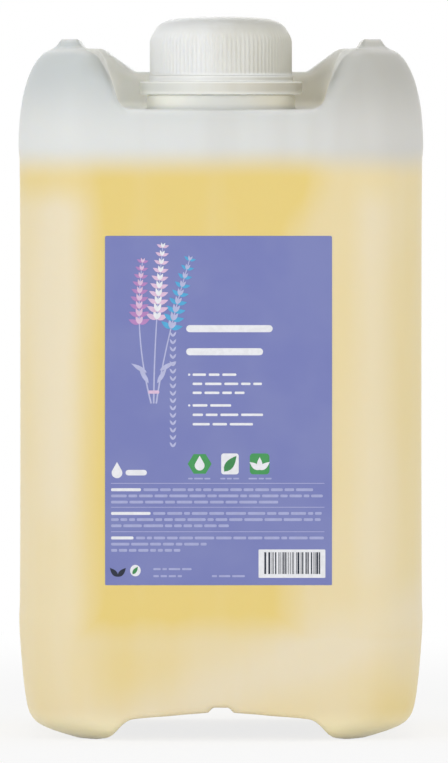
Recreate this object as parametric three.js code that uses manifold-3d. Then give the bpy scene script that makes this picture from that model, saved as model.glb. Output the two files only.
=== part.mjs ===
// A ten litre hand soap refill canister: a blow-moulded translucent body with a hollow carrying handle,
// a threaded neck, a ribbed screw cap with its liner, a tamper band, a front label and the soap inside.
// Millimetres, +Z up, +Y away from the label. The origin is the centre of the footprint, on the floor.
import * as THREE from 'three';
import { mergeVertices } from 'three/addons/utils/BufferGeometryUtils.js';
import Module from 'manifold-3d';

const wasm = await Module();
wasm.setup();

// Body
const BODY_WIDTH = 190.6;
const BODY_DEPTH = 215.4;
const CORNER_RADIUS = 36;
const WALL = 1.5;
const WAIST_DEPTH = 0.8;
const WAIST_BOTTOM_Z = 56;
const WAIST_TOP_Z = 278;
const WAIST_RAMP = 9;
const SHOULDER_Z = 324.7;
const SHOULDER_INSET_X = 18.3;
const SHOULDER_INSET_Y = 14;
const SHOULDER_ROUNDNESS = 2.2;
const SHOULDER_CORNER_LOSS = 0.5;

// Stacking ribs on the shoulders
const RIB_X = 71.3;
const RIB_TOP_Z = 329;
const RIB_BASE_HALF_WIDTH = 6.6;
const RIB_TOP_HALF_WIDTH = 4;
const RIB_HALF_LENGTH = 76;
const RIB_ROOT_Z = 320;
const RIB_ROOT_HALF_WIDTH = 7.6;
const RIB_END_ROUNDNESS = 0.9;

// The lowered saddle between the shoulders
const SADDLE_Z = 313.8;
const SADDLE_FLOOR_HALF_WIDTH = 41;
const SADDLE_TOP_HALF_WIDTH = 56;

// The recess that the neck stands in
const NECK_Y = -64;
const DECK_Z = 296;
const RECESS_HALF_WIDTH = 47;
const RECESS_DRAFT = 0.33;
const RECESS_FILLET = 4;
const FRONT_EDGE_RADIUS = 5;
const FRONT_EDGE_INSET = 0.4;

// The pocket for the fingers, and the handle over it
const POCKET_FLOOR_Z = 276;
const POCKET_HALF_WIDTH = 41;
const POCKET_FRONT_Y = 6;
const POCKET_BACK_Y = 86;
const POCKET_CORNER = 16;
const POCKET_DRAFT = 0.14;
const POCKET_FILLET = 7;
const HANDLE_HALF_WIDTH = 16;
const HANDLE_HALF_HEIGHT = 9.5;
const HANDLE_END_Z = 303;
const HANDLE_RISE = 7.5;
const HANDLE_START_Y = -3;
const HANDLE_END_Y = 95;
const HANDLE_SQUARENESS = 0.8;

// The channel under the body, and the mould groove in its ceiling
const ARCH_FOOT_HALF_WIDTH = 56.5;
const ARCH_HALF_WIDTH = 40;
const ARCH_SIDE_Z = 10.3;
const ARCH_Z = 13.2;
const ARCH_CURVE_REACH = 8.5;
const ARCH_CURVE_RISE = 1;
const GROOVE_HALF_WIDTH = 6;
const GROOVE_DEPTH = 2.4;

// Neck, measured from its own axis
const BORE_RADIUS = 25.5;
const NECK_RADIUS = 28;
const RIM_Z = 333.4;
const RIM_CHAMFER = 0.8;
const NECK_BASE_RADIUS = 34.8;
const COLLAR_RADIUS = 38.4;
const COLLAR_BOTTOM_Z = 303;
const COLLAR_TOP_Z = 309;
const BEAD_RADIUS = 30.6;
const BEAD_BOTTOM_Z = 311.6;
const BEAD_TOP_Z = 313;

// Screw thread of neck and cap
const THREAD_PITCH = 6;
const THREAD_HEIGHT = 1.7;
const THREAD_ROOT_WIDTH = 2.6;
const THREAD_CREST_WIDTH = 1.4;
const THREAD_OVERLAP = 0.5;
const THREAD_RUN_OUT_STEPS = 3;
const NECK_THREAD_START_Z = 317;
const NECK_THREAD_TURNS = 2.1;
const CAP_THREAD_LAG = 2.3;
const CAP_THREAD_START_TURN = 0.3;
const CAP_THREAD_TURNS = 2;

// Cap, tamper band and liner
const GAP = 0.3;
const CAP_BOTTOM_Z = 312.1;
const CAP_TOP_Z = 339.7;
const CAP_SKIRT_RADIUS = 33.5;
const CAP_BORE_RADIUS = 30.2;
const CAP_BORE_TOP_Z = 330;
const CAP_LINER_RADIUS = 28;
const CAP_CEILING_Z = 335.8;
const RIB_COUNT = 96;
const RIB_DEPTH = 0.55;
const RIBS_TOP_Z = 331.4;
const RIBS_TRIM_HEIGHT = 3.2;
const RIBS_TRIM_DEPTH = 1.5;
const LINER_THICKNESS = 1.8;
const BAND_RADIUS = 33.8;
const BAND_TOP_Z = 311.5;
const BAND_LIP_RADIUS = 29.3;
const BAND_LIP_Z = 310.9;
const BAND_BORE_RADIUS = 31;
const BRIDGE_COUNT = 12;
const BRIDGE_WIDTH = 1.6;
const BRIDGE_THICKNESS = 1;
const BRIDGE_HEIGHT = 1.4;

// Contents and label
const SOAP_Z = 273;
const LABEL_WIDTH = 106.3;
const LABEL_BOTTOM_Z = 72.9;
const LABEL_TOP_Z = 236.8;
const LABEL_OFFSET_X = -1.1;
const LABEL_CORNER = 0.8;
const LABEL_THICKNESS = 0.35;

// The crown of the cap, from the ribs inwards: radius, height
const CROWN_OUTLINE = [
  [32, 331.4],
  [30.4, 334.2],
  [27.8, 337.3],
  [22.7, 338.8],
  [13, 339.5],
];

// How finely round stretches are cut into flats
const CORNER_STEPS = 6;
const SHOULDER_STEPS = 8;
const HANDLE_STEPS = 12;
const HANDLE_SIDES = 18;
const ROUND_STEPS = 60;
const THREAD_STEPS_PER_TURN = 30;

// Foot outline, from the floor up: height, inset of the side walls, inset of front and back
const FOOT_OUTLINE = [
  [0, 27.5, 12],
  [1.2, 23.5, 8.2],
  [3.1, 17.5, 5.6],
  [5.4, 11.5, 4],
  [8.4, 7, 2.8],
  [14, 4, 1.8],
  [31, 1.8, 0.8],
  [WAIST_BOTTOM_Z, 0, 0],
];

// Solids

// A closed surface as a solid, turned to face outwards.
function solidOf(geometry) {
  const bare = geometry.clone();
  bare.deleteAttribute('normal');
  bare.deleteAttribute('uv');
  const merged = mergeVertices(bare, 1e-4);
  const corners = merged.index.array;
  const points = merged.attributes.position;
  const triangles = [];
  for (let i = 0; i < corners.length; i += 3) {
    const [a, b, c] = [corners[i], corners[i + 1], corners[i + 2]];
    if (a !== b && b !== c && c !== a) triangles.push([a, b, c]);
  }
  const at = (i) => new THREE.Vector3().fromBufferAttribute(points, i);
  const volume = triangles.reduce((sum, [a, b, c]) => sum + at(a).dot(at(b).cross(at(c))), 0);
  const facing = volume < 0 ? triangles.map(([a, b, c]) => [a, c, b]) : triangles;
  return new wasm.Manifold(new wasm.Mesh({
    numProp: 3,
    vertProperties: new Float32Array(points.array),
    triVerts: new Uint32Array(facing.flat()),
  }));
}

function geometryOf(solid) {
  const mesh = solid.getMesh();
  const geometry = new THREE.BufferGeometry();
  geometry.setAttribute('position', new THREE.BufferAttribute(mesh.vertProperties, 3));
  geometry.setIndex(new THREE.BufferAttribute(mesh.triVerts, 1));
  geometry.computeVertexNormals();
  return geometry;
}

// A solid through rings of equally many points, closed by a flat fan at each end.
function loft(rings) {
  const count = rings[0].length;
  const points = rings.flat();
  const index = [];
  for (let level = 0; level + 1 < rings.length; level += 1) {
    for (let i = 0; i < count; i += 1) {
      const a = level * count + i;
      const b = level * count + ((i + 1) % count);
      index.push(a, b, b + count, a, b + count, a + count);
    }
  }
  const last = (rings.length - 1) * count;
  for (let i = 1; i + 1 < count; i += 1) {
    index.push(0, i + 1, i);
    index.push(last, last + i, last + i + 1);
  }
  const geometry = new THREE.BufferGeometry().setFromPoints(points);
  geometry.setIndex(index);
  return solidOf(geometry);
}

// A profile of [radius, height] pairs turned about the vertical axis through the neck.
function turned(profile) {
  const points = profile.map(([radius, z]) => new THREE.Vector2(radius, z));
  const geometry = new THREE.LatheGeometry(points, ROUND_STEPS);
  geometry.rotateX(Math.PI / 2);
  geometry.translate(0, NECK_Y, 0);
  return solidOf(geometry);
}

// A shape drawn in X and Z, extruded along Y between two planes.
function alongY(shape, fromY, toY) {
  const geometry = new THREE.ExtrudeGeometry(shape, {
    depth: toY - fromY,
    bevelEnabled: false,
    curveSegments: CORNER_STEPS,
  });
  geometry.rotateX(Math.PI / 2);
  geometry.translate(0, toY, 0);
  return solidOf(geometry);
}

function block(width, depth, height, x, y, z) {
  return solidOf(new THREE.BoxGeometry(width, depth, height).translate(x, y, z));
}

// A ring of a rectangle with round corners, at one height.
function roundedRing(halfX, halfY, radius, z, centreY = 0) {
  const ring = [];
  const corners = [[1, 1, 0], [-1, 1, 1], [-1, -1, 2], [1, -1, 3]];
  for (const [sideX, sideY, quarter] of corners) {
    for (let step = 0; step <= CORNER_STEPS; step += 1) {
      const angle = (quarter + step / CORNER_STEPS) * Math.PI / 2;
      const x = sideX * (halfX - radius) + radius * Math.cos(angle);
      const y = centreY + sideY * (halfY - radius) + radius * Math.sin(angle);
      ring.push(new THREE.Vector3(x, y, z));
    }
  }
  return ring;
}

// Body: each form is made moved inwards by an inset, so that the hollow follows the outside

function bodyOutline() {
  const waist = [
    [WAIST_BOTTOM_Z + WAIST_RAMP, WAIST_DEPTH, WAIST_DEPTH],
    [WAIST_TOP_Z - WAIST_RAMP, WAIST_DEPTH, WAIST_DEPTH],
  ];
  const shoulder = [];
  for (let step = 0; step <= SHOULDER_STEPS; step += 1) {
    const angle = (step / SHOULDER_STEPS) * Math.PI / 2;
    const rise = Math.sin(angle) ** (2 / SHOULDER_ROUNDNESS);
    const inset = 1 - Math.max(Math.cos(angle), 0) ** (2 / SHOULDER_ROUNDNESS);
    const z = WAIST_TOP_Z + rise * (SHOULDER_Z - WAIST_TOP_Z);
    shoulder.push([z, inset * SHOULDER_INSET_X, inset * SHOULDER_INSET_Y]);
  }
  return [...FOOT_OUTLINE, ...waist, ...shoulder];
}

function envelope(inset) {
  const squeeze = (SHOULDER_Z - 2 * inset) / SHOULDER_Z;
  return loft(bodyOutline().map(([z, sideInset, frontInset]) => roundedRing(
    BODY_WIDTH / 2 - sideInset - inset,
    BODY_DEPTH / 2 - frontInset - inset,
    CORNER_RADIUS - frontInset * SHOULDER_CORNER_LOSS - inset,
    inset + z * squeeze,
  )));
}

function saddle(inset) {
  const above = RIB_TOP_Z + GAP;
  const slope = (SADDLE_TOP_HALF_WIDTH - SADDLE_FLOOR_HALF_WIDTH) / (SHOULDER_Z - SADDLE_Z);
  const floorX = SADDLE_FLOOR_HALF_WIDTH + inset;
  const floorZ = SADDLE_Z - inset;
  const topX = floorX + (above - floorZ) * slope;
  const shape = new THREE.Shape();
  shape.moveTo(-topX, above);
  shape.lineTo(-floorX, floorZ);
  shape.lineTo(floorX, floorZ);
  shape.lineTo(topX, above);
  return alongY(shape, -BODY_DEPTH, BODY_DEPTH);
}

// Heights and sideways spread of a recess with a rounded floor edge and drafted walls.
function recessLevels(floorZ, fillet, draft) {
  const topZ = RIB_TOP_Z + 1;
  const halfway = fillet * (1 - Math.SQRT1_2);
  return [
    [floorZ, -fillet],
    [floorZ + halfway, -halfway],
    [floorZ + fillet, fillet * draft],
    [topZ, (topZ - floorZ) * draft],
  ];
}

// The neck's recess is open to the front and half round behind the neck.
function neckRecess(inset) {
  return loft(recessLevels(DECK_Z - inset, RECESS_FILLET, RECESS_DRAFT).map(([z, spread]) => {
    const radius = RECESS_HALF_WIDTH + inset + spread;
    const ring = [
      new THREE.Vector3(-radius, -BODY_DEPTH, z),
      new THREE.Vector3(radius, -BODY_DEPTH, z),
    ];
    for (let step = 0; step <= 2 * CORNER_STEPS; step += 1) {
      const angle = (step / (2 * CORNER_STEPS)) * Math.PI;
      ring.push(new THREE.Vector3(radius * Math.cos(angle), NECK_Y + radius * Math.sin(angle), z));
    }
    return ring;
  }));
}

// What is taken off the front edge of the neck's deck to round it.
function deckFrontEdge(inset) {
  const frontY = -BODY_DEPTH / 2 + FRONT_EDGE_INSET + inset;
  const topZ = DECK_Z - inset;
  const outline = [[-1, 1], [-1, -FRONT_EDGE_RADIUS]];
  for (let step = 0; step <= CORNER_STEPS; step += 1) {
    const angle = (step / CORNER_STEPS) * Math.PI / 2;
    outline.push([
      FRONT_EDGE_RADIUS * (1 - Math.cos(angle)),
      -FRONT_EDGE_RADIUS * (1 - Math.sin(angle)),
    ]);
  }
  outline.push([FRONT_EDGE_RADIUS, 1]);
  const halfWidth = RECESS_HALF_WIDTH + inset;
  return loft([-halfWidth, halfWidth].map((x) => (
    outline.map(([back, rise]) => new THREE.Vector3(x, frontY + back, topZ + rise))
  )));
}

function gripPocket(inset) {
  const centreY = (POCKET_FRONT_Y + POCKET_BACK_Y) / 2;
  const halfLength = (POCKET_BACK_Y - POCKET_FRONT_Y) / 2;
  const levels = recessLevels(POCKET_FLOOR_Z - inset, POCKET_FILLET, POCKET_DRAFT);
  return loft(levels.map(([z, spread]) => roundedRing(
    POCKET_HALF_WIDTH + inset + spread,
    halfLength + inset + spread,
    POCKET_CORNER + inset + Math.min(spread, 0),
    z,
    centreY,
  )));
}

function handle(inset) {
  const rings = [];
  for (let step = 0; step <= HANDLE_STEPS; step += 1) {
    const share = step / HANDLE_STEPS;
    const y = HANDLE_START_Y + share * (HANDLE_END_Y - HANDLE_START_Y);
    const z = HANDLE_END_Z + HANDLE_RISE * Math.sin(Math.PI * share);
    const ring = [];
    for (let side = 0; side < HANDLE_SIDES; side += 1) {
      const angle = (side / HANDLE_SIDES) * 2 * Math.PI;
      const across = Math.sign(Math.cos(angle)) * Math.abs(Math.cos(angle)) ** HANDLE_SQUARENESS;
      const up = Math.sign(Math.sin(angle)) * Math.abs(Math.sin(angle)) ** HANDLE_SQUARENESS;
      ring.push(new THREE.Vector3(
        (HANDLE_HALF_WIDTH - inset) * across,
        y,
        z + (HANDLE_HALF_HEIGHT - inset) * up,
      ));
    }
    rings.push(ring);
  }
  return loft(rings);
}

// The channel between the feet, which clears the cap of a canister below.
function footArch(inset) {
  const footX = ARCH_FOOT_HALF_WIDTH + inset;
  const sideX = ARCH_HALF_WIDTH + inset;
  const grooveX = GROOVE_HALF_WIDTH + inset;
  const sideZ = ARCH_SIDE_Z + inset;
  const topZ = ARCH_Z + inset;
  const [reach, rise] = [ARCH_CURVE_REACH, ARCH_CURVE_RISE];
  const shape = new THREE.Shape();
  shape.moveTo(-footX, -WALL);
  shape.lineTo(-footX, 0);
  shape.bezierCurveTo(-footX + reach, rise, -sideX - reach, sideZ - rise, -sideX, sideZ);
  shape.lineTo(-grooveX, topZ);
  shape.lineTo(-grooveX + GROOVE_DEPTH, topZ + GROOVE_DEPTH);
  shape.lineTo(grooveX - GROOVE_DEPTH, topZ + GROOVE_DEPTH);
  shape.lineTo(grooveX, topZ);
  shape.lineTo(sideX, sideZ);
  shape.bezierCurveTo(sideX + reach, sideZ - rise, footX - reach, rise, footX, 0);
  shape.lineTo(footX, -WALL);
  return alongY(shape, -BODY_DEPTH, BODY_DEPTH);
}

function stackingRib(side) {
  const levels = [
    [RIB_ROOT_Z, RIB_ROOT_HALF_WIDTH],
    [SHOULDER_Z, RIB_BASE_HALF_WIDTH],
    [RIB_TOP_Z, RIB_TOP_HALF_WIDTH],
  ];
  const rings = levels.map(([z, halfWidth]) => roundedRing(
    halfWidth,
    RIB_HALF_LENGTH - RIB_TOP_HALF_WIDTH + halfWidth,
    halfWidth * RIB_END_ROUNDNESS,
    z,
  ));
  return loft(rings).translate([side * RIB_X, 0, 0]);
}

function bodyForm(inset) {
  return envelope(inset)
    .subtract(saddle(inset))
    .subtract(neckRecess(inset))
    .subtract(deckFrontEdge(inset))
    .subtract(gripPocket(inset))
    .subtract(footArch(inset))
    .add(handle(inset));
}

// Neck and thread

// A ridge of trapezoid section that climbs around the neck's axis, from rootRadius to crestRadius.
// The helix is at height zeroZ where its turn count is zero.
function threadRidge(rootRadius, crestRadius, zeroZ, startTurn, turns) {
  const steps = Math.round(turns * THREAD_STEPS_PER_TURN);
  const rings = [];
  for (let step = 0; step <= steps; step += 1) {
    const turn = startTurn + step / THREAD_STEPS_PER_TURN;
    const angle = turn * 2 * Math.PI;
    const z = zeroZ + turn * THREAD_PITCH;
    const stepsFromEnd = Math.min(step, steps - step);
    const share = Math.min(1, (stepsFromEnd + 1) / (THREAD_RUN_OUT_STEPS + 1));
    const crest = rootRadius + (crestRadius - rootRadius) * share;
    const section = [
      [rootRadius, -THREAD_ROOT_WIDTH / 2],
      [crest, -THREAD_CREST_WIDTH / 2],
      [crest, THREAD_CREST_WIDTH / 2],
      [rootRadius, THREAD_ROOT_WIDTH / 2],
    ];
    rings.push(section.map(([radius, rise]) => new THREE.Vector3(
      radius * Math.cos(angle),
      NECK_Y + radius * Math.sin(angle),
      z + rise,
    )));
  }
  return loft(rings);
}

function neck() {
  const tube = turned([
    [0, DECK_Z - WALL],
    [NECK_BASE_RADIUS, DECK_Z - WALL],
    [NECK_BASE_RADIUS, COLLAR_BOTTOM_Z],
    [COLLAR_RADIUS, COLLAR_BOTTOM_Z],
    [COLLAR_RADIUS, COLLAR_TOP_Z],
    [NECK_RADIUS, COLLAR_TOP_Z],
    [NECK_RADIUS, BEAD_BOTTOM_Z],
    [BEAD_RADIUS, BEAD_BOTTOM_Z],
    [NECK_RADIUS, BEAD_TOP_Z],
    [NECK_RADIUS, RIM_Z - RIM_CHAMFER],
    [NECK_RADIUS - RIM_CHAMFER, RIM_Z],
    [0, RIM_Z],
  ]);
  const root = NECK_RADIUS - THREAD_OVERLAP;
  const crest = NECK_RADIUS + THREAD_HEIGHT;
  return tube.add(threadRidge(root, crest, NECK_THREAD_START_Z, 0, NECK_THREAD_TURNS));
}

function neckHollow() {
  const baseBore = NECK_BASE_RADIUS - WALL;
  return turned([
    [0, DECK_Z - 3 * WALL],
    [baseBore, DECK_Z - 3 * WALL],
    [baseBore, COLLAR_BOTTOM_Z - 2 * WALL],
    [BORE_RADIUS, COLLAR_BOTTOM_Z + WALL],
    [BORE_RADIUS, RIM_Z + 1],
    [0, RIM_Z + 1],
  ]);
}

function canister() {
  return bodyForm(0)
    .add(stackingRib(-1))
    .add(stackingRib(1))
    .add(neck())
    .subtract(bodyForm(WALL))
    .subtract(neckHollow());
}

function soap() {
  const clearance = WALL + GAP;
  const height = 2 * SHOULDER_Z;
  const belowSurface = block(2 * BODY_WIDTH, 2 * BODY_DEPTH, height, 0, 0, SOAP_Z - height / 2);
  return envelope(clearance).subtract(footArch(clearance)).intersect(belowSurface);
}

// Cap

// The ribbed wall: a ring of ridges and grooves, extruded up to where the shoulder begins.
function ribbedSkirt() {
  const ring = [];
  for (let rib = 0; rib < RIB_COUNT; rib += 1) {
    const valleyAngle = (rib / RIB_COUNT) * 2 * Math.PI;
    const ridgeAngle = ((rib + 0.5) / RIB_COUNT) * 2 * Math.PI;
    for (const [angle, radius] of [
      [valleyAngle, CAP_SKIRT_RADIUS - RIB_DEPTH],
      [ridgeAngle, CAP_SKIRT_RADIUS],
    ]) {
      ring.push([radius * Math.cos(angle), NECK_Y + radius * Math.sin(angle)]);
    }
  }
  const at = (z) => ring.map(([x, y]) => new THREE.Vector3(x, y, z));
  return loft([at(CAP_BOTTOM_Z), at(RIBS_TOP_Z)]);
}

// The smooth form that the ribs fade into: a slanted shoulder and a slightly domed top.
function capCrown() {
  return turned([
    [0, CAP_BOTTOM_Z],
    [CAP_SKIRT_RADIUS - RIB_DEPTH, CAP_BOTTOM_Z],
    [CAP_SKIRT_RADIUS - RIB_DEPTH, RIBS_TOP_Z - RIBS_TRIM_HEIGHT],
    ...CROWN_OUTLINE,
    [0, CAP_TOP_Z],
  ]);
}

// The cone that trims the ribs to the shoulder's slant.
function shoulderTrim() {
  return turned([
    [0, CAP_BOTTOM_Z],
    [CAP_SKIRT_RADIUS + GAP, CAP_BOTTOM_Z],
    [CAP_SKIRT_RADIUS + GAP, RIBS_TOP_Z - RIBS_TRIM_HEIGHT],
    [CAP_SKIRT_RADIUS - RIBS_TRIM_DEPTH, RIBS_TOP_Z],
    [0, RIBS_TOP_Z],
  ]);
}

function screwCap() {
  const hollow = turned([
    [0, CAP_BOTTOM_Z - 1],
    [CAP_BORE_RADIUS, CAP_BOTTOM_Z - 1],
    [CAP_BORE_RADIUS, CAP_BORE_TOP_Z],
    [CAP_LINER_RADIUS, RIM_Z],
    [CAP_LINER_RADIUS, CAP_CEILING_Z],
    [0, CAP_CEILING_Z],
  ]);
  const crest = CAP_BORE_RADIUS - THREAD_HEIGHT;
  const zeroZ = NECK_THREAD_START_Z - CAP_THREAD_LAG;
  const root = CAP_BORE_RADIUS + THREAD_OVERLAP;
  const thread = threadRidge(root, crest, zeroZ, CAP_THREAD_START_TURN, CAP_THREAD_TURNS);
  return ribbedSkirt().intersect(shoulderTrim()).add(capCrown()).subtract(hollow).add(thread);
}

function capLiner() {
  const top = CAP_CEILING_Z - GAP;
  const radius = CAP_LINER_RADIUS - GAP;
  return turned([[0, top - LINER_THICKNESS], [radius, top - LINER_THICKNESS], [radius, top], [0, top]]);
}

// The band snaps under the neck's bead. The bridges on it are where it parts from the cap.
function tamperBand() {
  const ring = turned([
    [BAND_LIP_RADIUS, COLLAR_TOP_Z + GAP],
    [BAND_RADIUS, COLLAR_TOP_Z + GAP],
    [BAND_RADIUS, BAND_TOP_Z],
    [BAND_BORE_RADIUS, BAND_TOP_Z],
    [BAND_BORE_RADIUS, BAND_LIP_Z],
    [BAND_LIP_RADIUS, BAND_LIP_Z],
    [BAND_LIP_RADIUS, COLLAR_TOP_Z + GAP],
  ]);
  const bridgeZ = CAP_BOTTOM_Z - GAP - BRIDGE_HEIGHT / 2;
  const bridgeRadius = (BAND_BORE_RADIUS + BAND_RADIUS) / 2;
  let band = ring;
  for (let bridge = 0; bridge < BRIDGE_COUNT; bridge += 1) {
    const stub = block(BRIDGE_THICKNESS, BRIDGE_WIDTH, BRIDGE_HEIGHT, bridgeRadius, 0, bridgeZ)
      .rotate([0, 0, (bridge * 360) / BRIDGE_COUNT])
      .translate([0, NECK_Y, 0]);
    band = band.add(stub);
  }
  return band;
}

// Label

function frontLabel() {
  const halfWidth = LABEL_WIDTH / 2;
  const shape = new THREE.Shape();
  shape.moveTo(-halfWidth + LABEL_CORNER, LABEL_BOTTOM_Z);
  shape.lineTo(halfWidth - LABEL_CORNER, LABEL_BOTTOM_Z);
  shape.absarc(halfWidth - LABEL_CORNER, LABEL_BOTTOM_Z + LABEL_CORNER, LABEL_CORNER, -Math.PI / 2, 0);
  shape.absarc(halfWidth - LABEL_CORNER, LABEL_TOP_Z - LABEL_CORNER, LABEL_CORNER, 0, Math.PI / 2);
  shape.absarc(-halfWidth + LABEL_CORNER, LABEL_TOP_Z - LABEL_CORNER, LABEL_CORNER, Math.PI / 2, Math.PI);
  shape.absarc(-halfWidth + LABEL_CORNER, LABEL_BOTTOM_Z + LABEL_CORNER, LABEL_CORNER, Math.PI, 1.5 * Math.PI);
  const backY = -BODY_DEPTH / 2 + WAIST_DEPTH - GAP;
  return alongY(shape, backY - LABEL_THICKNESS, backY).translate([LABEL_OFFSET_X, 0, 0]);
}

// Materials and scene graph

const material = (color, roughness, extra = {}) => (
  new THREE.MeshStandardMaterial({ color, roughness, metalness: 0, ...extra })
);

const materials = {
  canister: material(0xdfe2db, 0.42, { transparent: true, opacity: 0.6 }),
  soap: material(0xe6d085, 0.15),
  cap: material(0xe6e8e5, 0.4),
  liner: material(0xf2f2ee, 0.8),
  label: material(0x7d83bb, 0.45),
};

function named(name, solid, finish) {
  const mesh = new THREE.Mesh(geometryOf(solid), finish);
  mesh.name = name;
  return mesh;
}

const pack = new THREE.Group();
pack.add(named('canister', canister(), materials.canister));
pack.add(named('soap_fill', soap(), materials.soap));
pack.add(named('front_label', frontLabel(), materials.label));

const closure = new THREE.Group();
closure.add(named('screw_cap', screwCap(), materials.cap));
closure.add(named('cap_liner', capLiner(), materials.liner));
closure.add(named('tamper_band', tamperBand(), materials.cap));
pack.add(closure);

export default pack;
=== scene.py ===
import math
import random

import bpy
import numpy as np
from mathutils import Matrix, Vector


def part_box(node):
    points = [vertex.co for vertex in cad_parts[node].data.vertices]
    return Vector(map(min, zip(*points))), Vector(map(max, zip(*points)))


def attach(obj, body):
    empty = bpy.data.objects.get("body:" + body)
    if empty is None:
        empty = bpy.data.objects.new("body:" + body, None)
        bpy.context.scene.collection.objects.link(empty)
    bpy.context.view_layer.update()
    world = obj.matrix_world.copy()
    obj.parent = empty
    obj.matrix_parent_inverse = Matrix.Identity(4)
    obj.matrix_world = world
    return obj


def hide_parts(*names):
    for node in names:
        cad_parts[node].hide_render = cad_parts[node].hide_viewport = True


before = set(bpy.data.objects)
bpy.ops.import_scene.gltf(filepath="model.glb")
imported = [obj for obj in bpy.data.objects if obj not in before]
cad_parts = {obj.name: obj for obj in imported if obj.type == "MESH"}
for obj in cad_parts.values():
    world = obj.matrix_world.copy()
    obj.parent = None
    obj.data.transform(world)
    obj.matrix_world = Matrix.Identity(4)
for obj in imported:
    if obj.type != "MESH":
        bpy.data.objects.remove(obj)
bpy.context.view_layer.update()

MM = 0.001


def node_box(name):
    """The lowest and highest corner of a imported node, in millimetres."""
    low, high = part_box(name)
    return np.array(low) / MM, np.array(high) / MM


# Sizes taken from the frame
BODY_HIGH = node_box("canister")[1]
CAP_LOW, CAP_HIGH = node_box("screw_cap")
LABEL_LOW, LABEL_HIGH = node_box("front_label")
BAND_LOW, BAND_HIGH = node_box("tamper_band")
LINER_LOW, LINER_HIGH = node_box("cap_liner")
HALF_X = BODY_HIGH[0]
HALF_Y = BODY_HIGH[1]
NECK_Y = (CAP_LOW[1] + CAP_HIGH[1]) / 2
SOAP_Z = node_box("soap_fill")[1][2]
RIM_Z = BODY_HIGH[2]

# Body
CORNER_RADIUS = 36
CORNER_LOSS = 0.5
WALL = 1.5
SOAP_GAP = 0.3
WAIST_DEPTH = 0.8
WAIST_BOTTOM_Z = 56
WAIST_TOP_Z = 278
WAIST_RAMP = 9
SHOULDER_Z = 324.7
SHOULDER_INSET_X = 18.3
SHOULDER_INSET_Y = 14
SHOULDER_ROUNDNESS = 2.2
SHOULDER_STEPS = 40
# Height, and how far the side and the front lie inside the whole width and depth there
FOOT_OUTLINE = (
    (0, 27.5, 12),
    (1.2, 23.5, 8.2),
    (3.1, 17.5, 5.6),
    (5.4, 11.5, 4),
    (8.4, 7, 2.8),
    (14, 4, 1.8),
    (31, 1.8, 0.8),
    (WAIST_BOTTOM_Z, 0, 0),
)

# Stacking ribs and the saddle between the shoulders
RIB_X = 71.3
RIB_TOP_Z = 329
RIB_BASE_HALF_WIDTH = 6.6
RIB_TOP_HALF_WIDTH = 4
RIB_HALF_LENGTH = 76
RIB_ROOT_Z = 318
RIB_END_RADIUS = 2.5
RIB_BLEND = 1.5
SADDLE_Z = 313.8
SADDLE_FLOOR_HALF_WIDTH = 41
SADDLE_TOP_HALF_WIDTH = 56
SADDLE_FILLET = 0.8
SADDLE_EDGE_RADIUS = 0.8

# Neck recess
DECK_Z = 296
RECESS_HALF_WIDTH = 47
RECESS_DRAFT = 0.33
RECESS_FILLET = 4.5
DECK_EDGE_RADIUS = 5
SHOULDER_EDGE_RADIUS = 11
EDGE_GROWS_FORWARD = (-70, 25)
EDGE_GROWS_UPWARD = (DECK_Z + 2, 12)

# Grip pocket and handle
POCKET_FLOOR_Z = 276
POCKET_HALF_WIDTH = 41
POCKET_FRONT_Y = 6
POCKET_BACK_Y = 86
POCKET_CORNER = 16
POCKET_DRAFT = 0.14
POCKET_FILLET = 8
POCKET_EDGE_RADIUS = 3.5
HANDLE_HALF_WIDTH = 16
HANDLE_HALF_HEIGHT = 9.5
HANDLE_CORNER = 8.4
HANDLE_END_Z = 303
HANDLE_RISE = 7.5
HANDLE_START_Y = -3
HANDLE_END_Y = 95
HANDLE_BLEND = 6

# Foot channel
ARCH_FOOT_HALF_WIDTH = 56.5
ARCH_HALF_WIDTH = 40
ARCH_SIDE_Z = 10.3
ARCH_Z = 13.2
ARCH_CURVE_REACH = 8.5
ARCH_CURVE_RISE = 1
ARCH_EDGE_RADIUS = 1
GROOVE_HALF_WIDTH = 6
GROOVE_DEPTH = 2.4

# Neck and thread
BORE_RADIUS = 25.5
NECK_RADIUS = 28
NECK_BASE_RADIUS = 34.8
NECK_BASE_TOP_Z = 303.4
NECK_BASE_DEPTH = 6
NECK_BASE_BLEND = 1.5
NECK_FOOT_INSET = 0.8
NECK_EDGE_RADIUS = 0.6
HIDDEN_MARGIN = 1
HIDDEN_DEPTH = 0.5
COLLAR_RADIUS = 38.4
COLLAR_BOTTOM_Z = 303
COLLAR_TOP_Z = 309
COLLAR_CHAMFER = (0.6, 1.6)
BEAD_RADIUS = 30.6
BEAD_BOTTOM_Z = 311.6
BEAD_TOP_Z = 313
THREAD_PITCH = 6
THREAD_HEIGHT = 1.7
THREAD_ROOT_WIDTH = 2.6
THREAD_CREST_WIDTH = 1.4
THREAD_OVERLAP = 0.5
NECK_THREAD_START_Z = 317
NECK_THREAD_TURNS = 2.1
CAP_THREAD_LAG = 2.3
CAP_THREAD_START_TURN = 0.3
CAP_THREAD_TURNS = 2

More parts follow.
